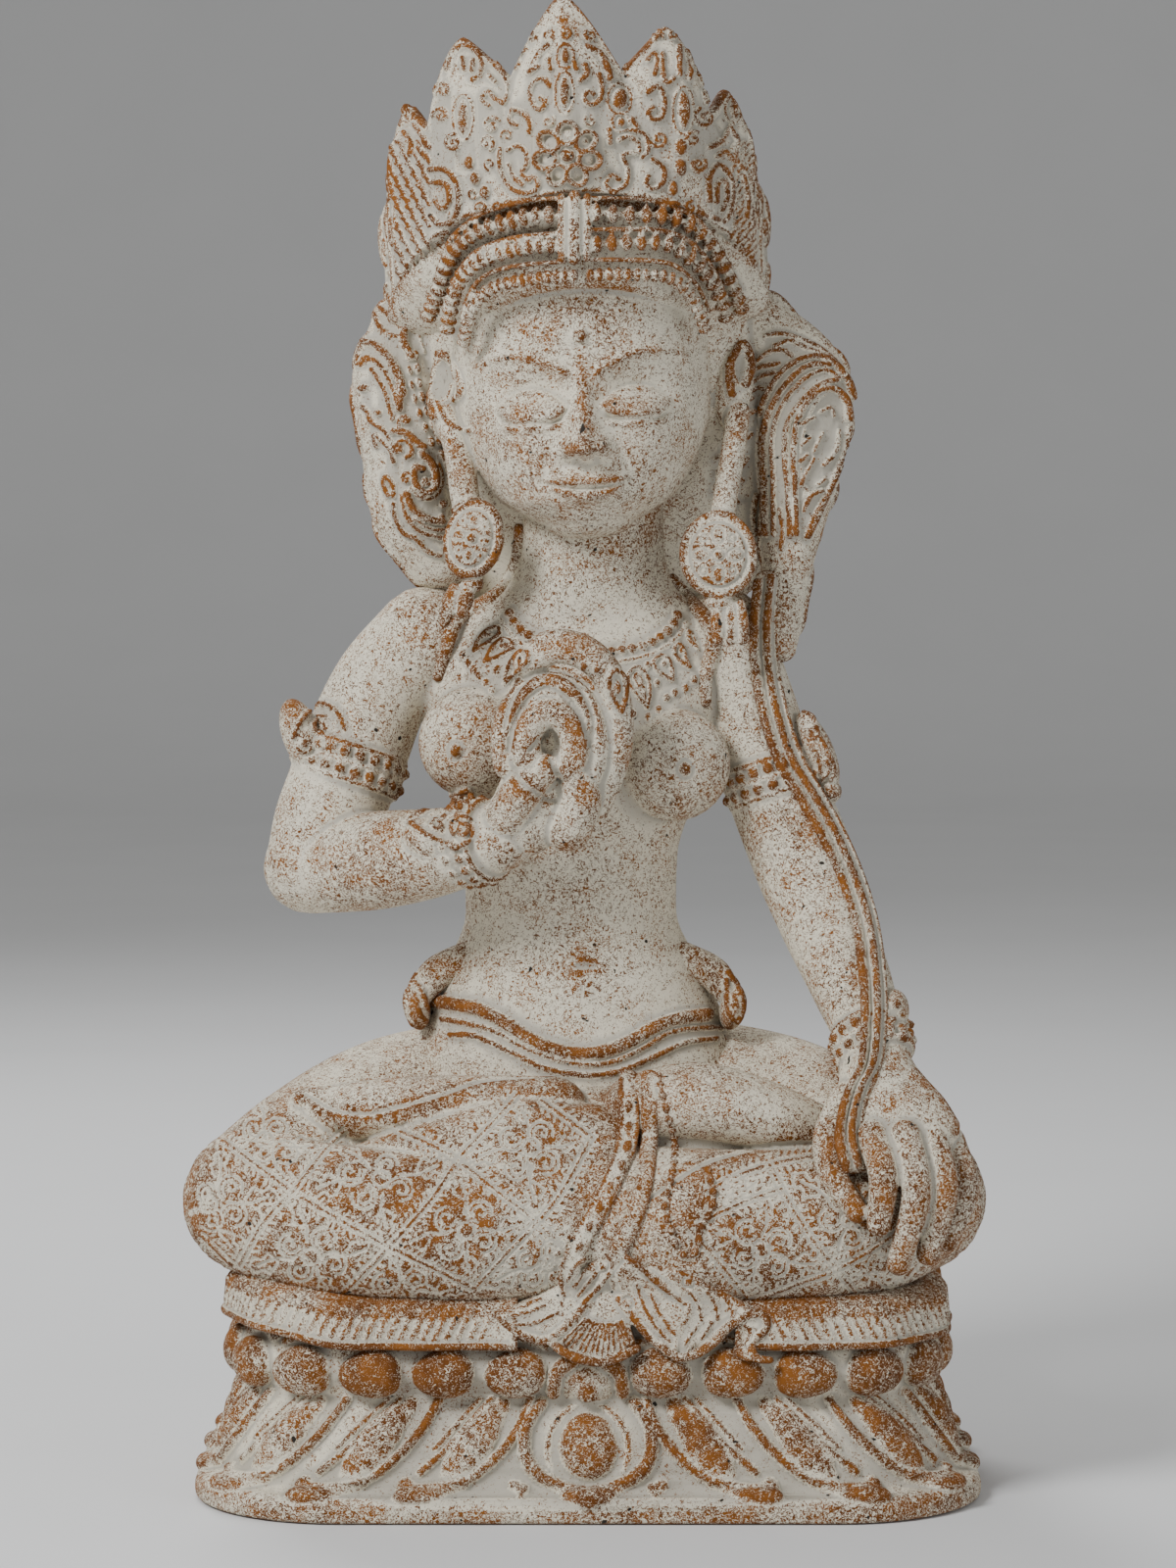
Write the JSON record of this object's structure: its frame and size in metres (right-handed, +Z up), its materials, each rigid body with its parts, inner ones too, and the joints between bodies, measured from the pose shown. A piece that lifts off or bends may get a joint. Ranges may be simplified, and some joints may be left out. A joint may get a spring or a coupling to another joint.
{
  "type": "seated goddess statue on a lotus base",
  "caption": "Cast stone statue of a crowned, cross-legged goddess on a double lotus base, whitewashed and rubbed back to ochre brown, which stands on its flat underside.",
  "frame": {"origin": "middle of the flat underside", "axes": "+Z up, the figure faces -Y, +X to the right of someone who faces it"},
  "size_m": [0.325, 0.2, 0.5997],
  "materials": {
    "cast_stone": "speckled cool white wash over ochre brown, rubbed back so that ridges are brown and hollows are white, matt"
  },
  "bodies": {
    "root": {"statue": "cast_stone"}
  },
  "joints": []
}
